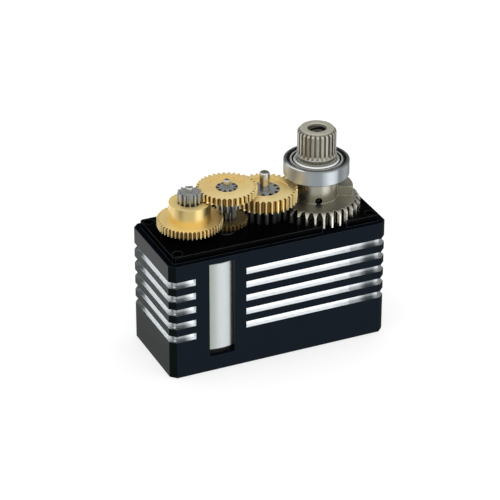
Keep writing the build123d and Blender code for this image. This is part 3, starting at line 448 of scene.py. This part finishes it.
# Bushes: the motor's front bush and the output bush, pressed from bronze powder and sintered,
# with open oily pores. Both are pressed into their seats.
bronze, shader, place = finish("sintered_bronze")
pores = place.node("ShaderNodeTexVoronoi", {"Vector": place, "Scale": 9000.0}).ramp(0.08, 0.3)
oil = place.noise(900.0, 3.0)
solid = oil.blend((0.46, 0.28, 0.13), (0.62, 0.40, 0.20))
join(
    shader,
    Base_Color=pores.blend((0.10, 0.055, 0.025), solid),
    Metallic=0.6 + pores * 0.4,
    Roughness=0.52 - oil * 0.18,
    Normal=relief(pores, 0.004 * MM, rounded(place, 0.05 * MM)),
)
lay_on(bronze, "motor_front_bush", "output_bush")

# Magnet: sintered ring with a thin nickel coat, slightly orange-peeled, glued to the front
# of the can inside the coil.
coated, shader, place = finish("nickel_coated_magnet")
peel = place.noise(3200.0, 2.0)
join(
    shader,
    Base_Color=peel.blend((0.50, 0.49, 0.46), (0.62, 0.61, 0.58)),
    Metallic=0.9 + peel * 0.1,
    Roughness=0.24 + place.noise(700.0, 3.0) * 0.2,
    Normal=relief(peel, 0.008 * MM, rounded(place, 0.1 * MM)),
)
lay_on(coated, "motor_magnet")

# Black mouldings: the motor's end cap and the sensor's cup, glass-filled plastic off a
# spark-eroded tool, with pale specks of glass.
moulding, shader, place = finish("black_moulding", Specular_IOR_Level=0.4)
specks = place.noise(11000.0, 1.0).ramp(0.66, 0.74)
spark = place.noise(7000.0, 3.0)
join(
    shader,
    Base_Color=specks.blend((0.014, 0.014, 0.015), (0.07, 0.07, 0.068)),
    Roughness=0.48 + spark * 0.2,
    Normal=relief(spark, 0.006 * MM, rounded(place, 0.06 * MM)),
)
lay_on(moulding, "motor_end_cap", "sensor_housing")

# Contacts: terminals, brush springs, commutator and sensor leads, stamped bronze and copper
# with a thin gold-coloured plate and rubbed streaks.
contact, shader, place = finish("contact_metal")
rolled = place.stretched(1500.0, 1500.0, 9000.0).noise(1.0, 3.0)
tarnish = place.noise(1100.0, 3.0)
join(
    shader,
    Base_Color=tarnish.ramp(0.35, 0.7).blend((0.80, 0.60, 0.30), (0.62, 0.40, 0.18)),
    Metallic=0.92 + rolled * 0.08,
    Roughness=0.2 + tarnish * 0.25,
    Normal=relief(rolled, 0.002 * MM, rounded(place, 0.03 * MM)),
)
lay_on(contact, "motor_terminals", "motor_brushes", "commutator", "sensor_leads")

# Motor coil: self-supporting cup of enamelled copper wire, wound slantwise and baked hard.
# It turns in the gap between the magnet and the can.
winding, shader, place = finish("enamelled_winding", Coat_Roughness=0.2)
motor_x, coil_radius, wire_pitch, wire_slant = -9.51 * MM, 5.7 * MM, 0.11 * MM, 0.8
x, y, z = place.parts()
round_about = y.maths("ARCTAN2", x - motor_x)
turns = (round_about * coil_radius + z * wire_slant) / wire_pitch
strand = (turns * 2.0 * pi).maths("SINE") * 0.5 + 0.5
shade = place.noise(700.0, 2.0)
copper = shade.blend((0.56, 0.21, 0.09), (0.72, 0.32, 0.15))
join(
    shader,
    Base_Color=strand.blend((0.16, 0.045, 0.02), copper),
    Metallic=0.5 + strand * 0.4,
    Roughness=0.3 + shade * 0.15,
    Coat_Weight=0.4 + shade * 0.3,
    Normal=relief(strand, 0.03 * MM, rounded(place, 0.05 * MM)),
)
lay_on(winding, "motor_coil")


# Shafts: hardened steel pins, centreless ground and pressed into the deck, with very fine
# rings round them and a chamfered tip. The motor shaft is the same steel.
def facing_up(place, low=0.6, high=0.9):
    """One on faces that look straight up or down, and nothing on upright walls."""
    return abs(bare_direction(place).parts()[2]).ramp(low, high)


ground_steel, shader, place = finish("ground_shaft_steel")
rings = place.stretched(800.0, 800.0, 16000.0).noise(1.0, 3.0)
tint = place.noise(900.0, 2.0)
polish = tint.blend((0.50, 0.50, 0.47), (0.62, 0.62, 0.59))
join(
    shader,
    Base_Color=facing_up(place, 0.5, 0.9).blend(polish, (0.40, 0.385, 0.355)),
    Metallic=0.95 + tint * 0.05,
    Roughness=0.15 + rings * 0.14,
    Normal=relief(rings, 0.001 * MM, rounded(place, 0.05 * MM)),
)
lay_on(ground_steel, "first_shaft", "second_shaft", "fourth_shaft", "motor_shaft")


# Pinions: hobbed from alloy steel and hardened, blue-grey, with the lines of the hob along
# the teeth. They are pressed into the brass gears or, on the motor, onto its shaft.
def from_axis(place, centre_x):
    """Distance from an upright axis that stands on the middle line of the case."""
    x, y = place.parts()[:2]
    x = x - centre_x
    return (x * x + y * y).maths("SQRT")


def tool_marks(place, radius, ring_scale, line_scale):
    """Turning rings on faces that look up or down, and lines on the walls."""
    level = facing_up(place)
    rings = radius.node(
        "ShaderNodeTexNoise", {"W": radius, "Scale": ring_scale, "Detail": 2.0},
        noise_dimensions="1D",
    )
    return level * rings + (1.0 - level) * place.stretched(*line_scale).noise(1.0, 3.0)


def root_shade(radius, root, tip):
    """Painted shade: one at the bottom of the tooth spaces, fading towards the tips."""
    height = tip - root
    return radius.between(root - 0.03 * MM, root + 0.25 * height, 0.45 * height)


first_x, second_x, fourth_x = -5.41 * MM, -11.41 * MM, 0.75 * MM
# Axis, root and tip radius in millimetres, and how much painted shade darkens the tooth spaces.
for name, centre, root, tip, root_shading in (
    ("motor_pinion", motor_x, 0.88, 1.27, 0.7),
    ("first_pinion", first_x, 0.98, 1.37, 0.7),
    ("second_pinion", second_x, 1.35, 1.84, 0.2),
    ("third_pinion", first_x, 1.09, 1.64, 0.8),
    ("fourth_pinion", fourth_x, 1.76, 2.54, 1.0),
):
    hobbed, shader, place = finish("hobbed_steel_" + name)
    soft = rounded(place, 0.035 * MM)
    radius = from_axis(place, centre)
    marks = tool_marks(place, radius, 22000.0, (9000.0, 9000.0, 300.0))
    upward = facing_up(place)
    tint = place.noise(1600.0, 2.0)
    steel = tint.blend((0.42, 0.43, 0.43), (0.52, 0.53, 0.52))
    steel = (upward * 0.8).blend(steel, (0.33, 0.335, 0.325))
    # Painted shade darkens the tooth spaces.
    shaded_roots = root_shade(radius, root * MM, tip * MM) * (1.0 - upward) * root_shading
    steel = shaded_roots.blend(steel, (0.012, 0.014, 0.02))
    join(
        shader,
        # The sharp edges carry a painted highlight.
        Base_Color=(edges(soft) * 0.5).blend(steel, (0.66, 0.68, 0.67)),
        Metallic=0.95 + tint * 0.05,
        Roughness=0.25 + marks * 0.16 + upward * 0.1,
        Normal=relief(marks, 0.0015 * MM, soft),
    )
    lay_on(hobbed, name)

# Brass gears: turned and hobbed from free-cutting brass. Their faces keep fine turning rings,
# their teeth the lines of the hob; painted shade darkens the tooth spaces, and the edges and
# tooth tips carry a painted highlight. Below: axis, root and tip radius in millimetres, and
# how much painted shade darkens the faces.
for name, centre, root, tip, top_shade in (
    ("first_gear", first_x, 2.78, 3.17, 0.85),
    ("second_gear", second_x, 4.58, 4.97, 0.0),
    ("third_gear", first_x, 4.10, 4.59, 0.0),
    ("fourth_gear", fourth_x, 4.45, 5.0, 0.0),
):
    brass, shader, place = finish("turned_brass_" + name)
    soft = rounded(place, 0.04 * MM)
    radius = from_axis(place, centre)
    marks = tool_marks(place, radius, 16000.0, (7000.0, 7000.0, 500.0))
    upward = facing_up(place)
    tint = place.noise(700.0, 3.0)
    yellow = tint.blend((0.78, 0.58, 0.23), (0.88, 0.69, 0.31))
    # Painted shade in the tooth spaces and on the faces, and a painted highlight on the tooth
    # tips.
    shaded_roots = root_shade(radius, root * MM, tip * MM) * (1.0 - upward)
    yellow = shaded_roots.blend(yellow, (0.28, 0.15, 0.034))
    yellow = (upward * top_shade).blend(yellow, (0.10, 0.075, 0.035))
    tip_highlight = radius.ramp((tip - 0.09) * MM, (tip - 0.02) * MM) * (1.0 - upward) * 0.75
    yellow = tip_highlight.blend(yellow, (1.0, 0.85, 0.46))
    # Painted light: the faces are painted paler towards the front of the case.
    painted_front_light = upward * place.parts()[1].ramp(1.0 * MM, -4.6 * MM) * (1.0 - top_shade) * 0.6
    yellow = painted_front_light.blend(yellow, (1.0, 0.86, 0.47))
    join(
        shader,
        Base_Color=(edges(soft) * 0.85).blend(yellow, (1.0, 0.87, 0.51)),
        Metallic=0.95 + tint * 0.05,
        Roughness=0.24 + marks * 0.14 + upward * 0.2,
        Normal=relief(marks, 0.0022 * MM, soft),
    )
    lay_on(brass, name)

# Output shaft: one hardened steel piece with the last gear, the stop block, the bearing seat
# and the grooved horn end, all under a warm satin nickel plate. The horn end is the dullest.
output_x, hub_skin, screw_mouth = 9.35 * MM, 3.2 * MM, 1.5 * MM
gear_root, gear_tip, horn_root, horn_tip = 5.96 * MM, 6.74 * MM, 2.65 * MM, 2.95 * MM
hub_hole_low, hub_hole_high = 21.9 * MM, 23.0 * MM
dull_from, horn_shade_from = 28.6 * MM, 29.2 * MM
plated, shader, place = finish("satin_nickel_output")
soft = rounded(place, 0.06 * MM)
radius = from_axis(place, output_x)
z = place.parts()[2]
marks = tool_marks(place, radius, 14000.0, (5000.0, 5000.0, 2500.0))
upward = facing_up(place)
tint = place.noise(500.0, 3.0)
nickel = tint.blend((0.42, 0.405, 0.33), (0.52, 0.50, 0.42))
# Painted shade in the tooth spaces of the gear and of the horn end.
horn_spaces = root_shade(radius, horn_root, horn_tip)
horn_spaces = horn_spaces * z.ramp(horn_shade_from, horn_shade_from + 0.4 * MM, 0.0, 0.65)
spaces = (root_shade(radius, gear_root, gear_tip) + horn_spaces) * (1.0 - upward)
nickel = spaces.blend(nickel, (0.022, 0.02, 0.014))
# Painted shade on the top face of the gear round the hub.
shaded_gear_face = upward * radius.ramp(hub_skin, hub_skin + 0.3 * MM)
nickel = (shaded_gear_face * 0.5).blend(nickel, (0.10, 0.098, 0.07))
# Painted highlight on the tooth tips.
tip_highlight = radius.ramp(gear_tip - 0.12 * MM, gear_tip - 0.04 * MM) * (1.0 - upward)
nickel = (tip_highlight * 0.8).blend(nickel, (0.98, 0.97, 0.92))
# Painted shade inside the small hole in the hub and inside the tapped hole in the top.
hole_shade = radius.ramp(hub_skin, hub_skin - 0.08 * MM)
hole_shade = hole_shade * z.between(hub_hole_low, hub_hole_high, 0.04 * MM)
tapped_hole_shade = radius.ramp(screw_mouth, screw_mouth - 0.08 * MM) * 0.8
nickel = tapped_hole_shade.maths("MAXIMUM", hole_shade).blend(nickel, (0.012, 0.011, 0.009))
horn_end = z.ramp(dull_from, dull_from + 0.3 * MM)
# The sharp edges carry a painted highlight.
join(
    shader,
    Base_Color=(edges(soft) * 0.8).blend(nickel, (0.95, 0.94, 0.88)),
    Metallic=0.95 + tint * 0.05,
    Roughness=0.20 + marks * 0.14 + upward * 0.14 + horn_end * 0.12,
    Normal=relief(marks, 0.0007 * MM, soft),
)
lay_on(plated, "output_shaft")

# Horn screw thread: the helical ridge that a tap leaves in the hole in the top of the output
# shaft, of the same steel under the same plate.
thread_radius, thread_pitch, thread_height, thread_turns = 1.27 * MM, 0.5 * MM, 0.17 * MM, 11
thread_top, thread_root = 32.75 * MM, 0.02 * MM
turn_steps, fade_turns = 40, 0.5
ridge = (
    (thread_root, 0.24), (0.0, 0.22), (-thread_height, 0.03),
    (-thread_height, -0.03), (0.0, -0.22), (thread_root, -0.24),
)
form = bmesh.new()
rows = []
for step in range(thread_turns * turn_steps + 1):
    turn = step / turn_steps
    angle = 2 * pi * turn
    fade = min(1.0, turn / fade_turns, (thread_turns - turn) / fade_turns)
    middle = thread_top - turn * thread_pitch
    row = []
    for reach, rise in ridge:
        out = thread_radius + (reach * fade if reach < 0 else reach)
        row.append(form.verts.new((
            output_x + out * cos(angle), out * sin(angle), middle + rise * thread_pitch
        )))
    rows.append(row)
for lower, upper in zip(rows, rows[1:]):
    for i in range(len(ridge)):
        j = (i + 1) % len(ridge)
        form.faces.new((lower[i], lower[j], upper[j], upper[i]))
form.faces.new(rows[0])
form.faces.new(reversed(rows[-1]))
bmesh.ops.recalc_face_normals(form, faces=form.faces)
thread_mesh = bpy.data.meshes.new("horn_thread")
form.to_mesh(thread_mesh)
form.free()
thread = bpy.data.objects.new("horn_screw_thread", thread_mesh)
bpy.context.scene.collection.objects.link(thread)
thread_mesh.materials.append(plated)
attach(thread, "output")

# Outer ring of the output bearing: hardened chromium steel, ground and polished. It stands
# free here, because the cover that holds it is lifted off.
ring_radius, top_shade_low, top_shade_high = 5.0 * MM, 27.9 * MM, 28.1 * MM


def painted_top_shade(place):
    """Painted shade on the top land of the bearing, left off at the front left."""
    x, y, z = place.parts()
    unshaded = ((x - output_x) / ring_radius).ramp(-0.66, -0.80) * y.ramp(1.0 * MM, 0.0)
    return z.ramp(top_shade_low, top_shade_high) * (1.0 - unshaded) * 0.8


polished, shader, place = finish("ground_bearing_outer_ring")
soft = rounded(place, 0.06 * MM)
radius = from_axis(place, output_x)
marks = tool_marks(place, radius, 20000.0, (600.0, 600.0, 16000.0))
tint = place.noise(400.0, 2.0)
x, y = place.parts()[:2]
seat = (x - output_x) / ring_radius
outside = radius.ramp(ring_radius - 0.2 * MM, ring_radius - 0.1 * MM)
# The outside is satin and painted paler on the left, painted darker at the back left and at
# the right as painted shade, and painted brighter at the front as a painted highlight.
satin_and_painted_light = seat.ramp(-0.45, -0.8) * outside
painted_side_shade = seat.ramp(-0.5, -0.8) * y.ramp(-0.6 * MM, 1.6 * MM) * outside
painted_side_shade = painted_side_shade + seat.ramp(0.60, 0.80) * outside * 0.8
painted_front_highlight = seat.between(-0.20, 0.18, 0.12) * outside
top_shade = painted_top_shade(place)
steel = tint.blend((0.34, 0.38, 0.40), (0.42, 0.46, 0.48))
steel = (satin_and_painted_light * 0.6).blend(steel, (0.78, 0.76, 0.72))
steel = (painted_side_shade * 0.8).blend(steel, (0.07, 0.068, 0.062))
steel = (painted_front_highlight * 0.5).blend(steel, (0.70, 0.76, 0.80))
steel = top_shade.blend(steel, (0.11, 0.12, 0.12))
# The sharp edges carry a painted highlight, left off where the painted shade lies.
bright = edges(soft) * 0.22 * (1.0 - painted_side_shade) * (1.0 - top_shade)
join(
    shader,
    Base_Color=bright.blend(steel, (0.86, 0.88, 0.90)),
    Metallic=0.88 + tint * 0.08,
    Roughness=0.24 + marks * 0.14 + satin_and_painted_light * 0.14,
    Normal=relief(marks, 0.0012 * MM, soft),
)
lay_on(polished, "bearing_outer_ring")

# Inner ring and balls: the same chromium steel, ground and polished brighter than the outer
# ring, with the painted shade only on their top edges. The inner ring sits on the output shaft.
for name, dark, light in (
    ("bearing_inner_ring", (0.62, 0.65, 0.67), (0.74, 0.77, 0.79)),
    ("bearing_balls", (0.70, 0.71, 0.72), (0.80, 0.81, 0.82)),
):
    polished, shader, place = finish("ground_" + name)
    soft = rounded(place, 0.06 * MM)
    marks = tool_marks(
        place, from_axis(place, output_x), 20000.0, (600.0, 600.0, 16000.0)
    )
    tint = place.noise(400.0, 2.0)
    # The sharp edges carry a painted highlight.
    bright = edges(soft) * 0.22 * (1.0 - painted_top_shade(place))
    join(
        shader,
        Base_Color=bright.blend(tint.blend(dark, light), (0.86, 0.88, 0.90)),
        Metallic=0.88 + tint * 0.08,
        Roughness=0.24 + marks * 0.14,
        Normal=relief(marks, 0.0012 * MM, soft),
    )
    lay_on(polished, name)

# Bearing cage: thin crown of stamped steel, still with its rolling smears. It snaps over the
# balls and keeps them apart.
stamped, shader, place = finish("stamped_cage")
smear = place.noise(2600.0, 3.0)
join(
    shader,
    Base_Color=smear.blend((0.42, 0.41, 0.38), (0.58, 0.57, 0.54)),
    Metallic=0.95 + smear * 0.05,
    Roughness=0.28 + smear * 0.2,
    Normal=relief(smear, 0.004 * MM, rounded(place, 0.04 * MM)),
)
lay_on(stamped, "bearing_cage")

# Bearing seals: steel washers covered with black rubber, snapped into the outer ring. The
# moulded ridge in the middle is rubbed grey.
ridge_inside, ridge_outside = 3.77 * MM, 4.02 * MM
seal, shader, place = finish("seal_rubber", Specular_IOR_Level=0.1)
ridge = from_axis(place, output_x).between(ridge_inside, ridge_outside, 0.03 * MM)
rub = place.noise(5000.0, 3.0)
join(
    shader,
    Base_Color=(ridge * (0.7 + rub * 0.3)).blend((0.003, 0.003, 0.003), (0.46, 0.46, 0.43)),
    Roughness=0.5 - ridge * 0.12 + rub * 0.2,
    Normal=relief(rub, 0.003 * MM, rounded(place, 0.04 * MM)),
)
lay_on(seal, "bearing_seals")

# Position sensor: a laminate disc with two printed carbon tracks, which closes the sensor's
# cup, and a white moulded wiper that turns over it with the output shaft.
inner_track, outer_track, track_edge = (1.5 * MM, 2.1 * MM), (2.7 * MM, 3.6 * MM), 0.03 * MM
tracks, shader, place = finish("sensor_track_laminate")
radius = from_axis(place, output_x)
printed = radius.between(*outer_track, track_edge) + radius.between(*inner_track, track_edge)
fibres = place.noise(5000.0, 3.0)
board = fibres.blend((0.20, 0.15, 0.07), (0.32, 0.25, 0.13))
join(
    shader,
    Base_Color=printed.blend(board, (0.02, 0.02, 0.022)),
    Roughness=0.62 - printed * 0.2 + fibres * 0.1,
    Normal=relief(fibres + printed * 2.0, 0.004 * MM, rounded(place, 0.05 * MM)),
)
lay_on(tracks, "sensor_base")

ivory, shader, place = finish("white_moulding")
flow = place.noise(900.0, 3.0)
join(
    shader,
    Base_Color=flow.blend((0.70, 0.69, 0.66), (0.82, 0.81, 0.78)),
    Roughness=0.42 + flow * 0.16,
    Normal=relief(place.noise(8000.0, 2.0), 0.003 * MM, rounded(place, 0.08 * MM)),
)
lay_on(ivory, "sensor_wiper")
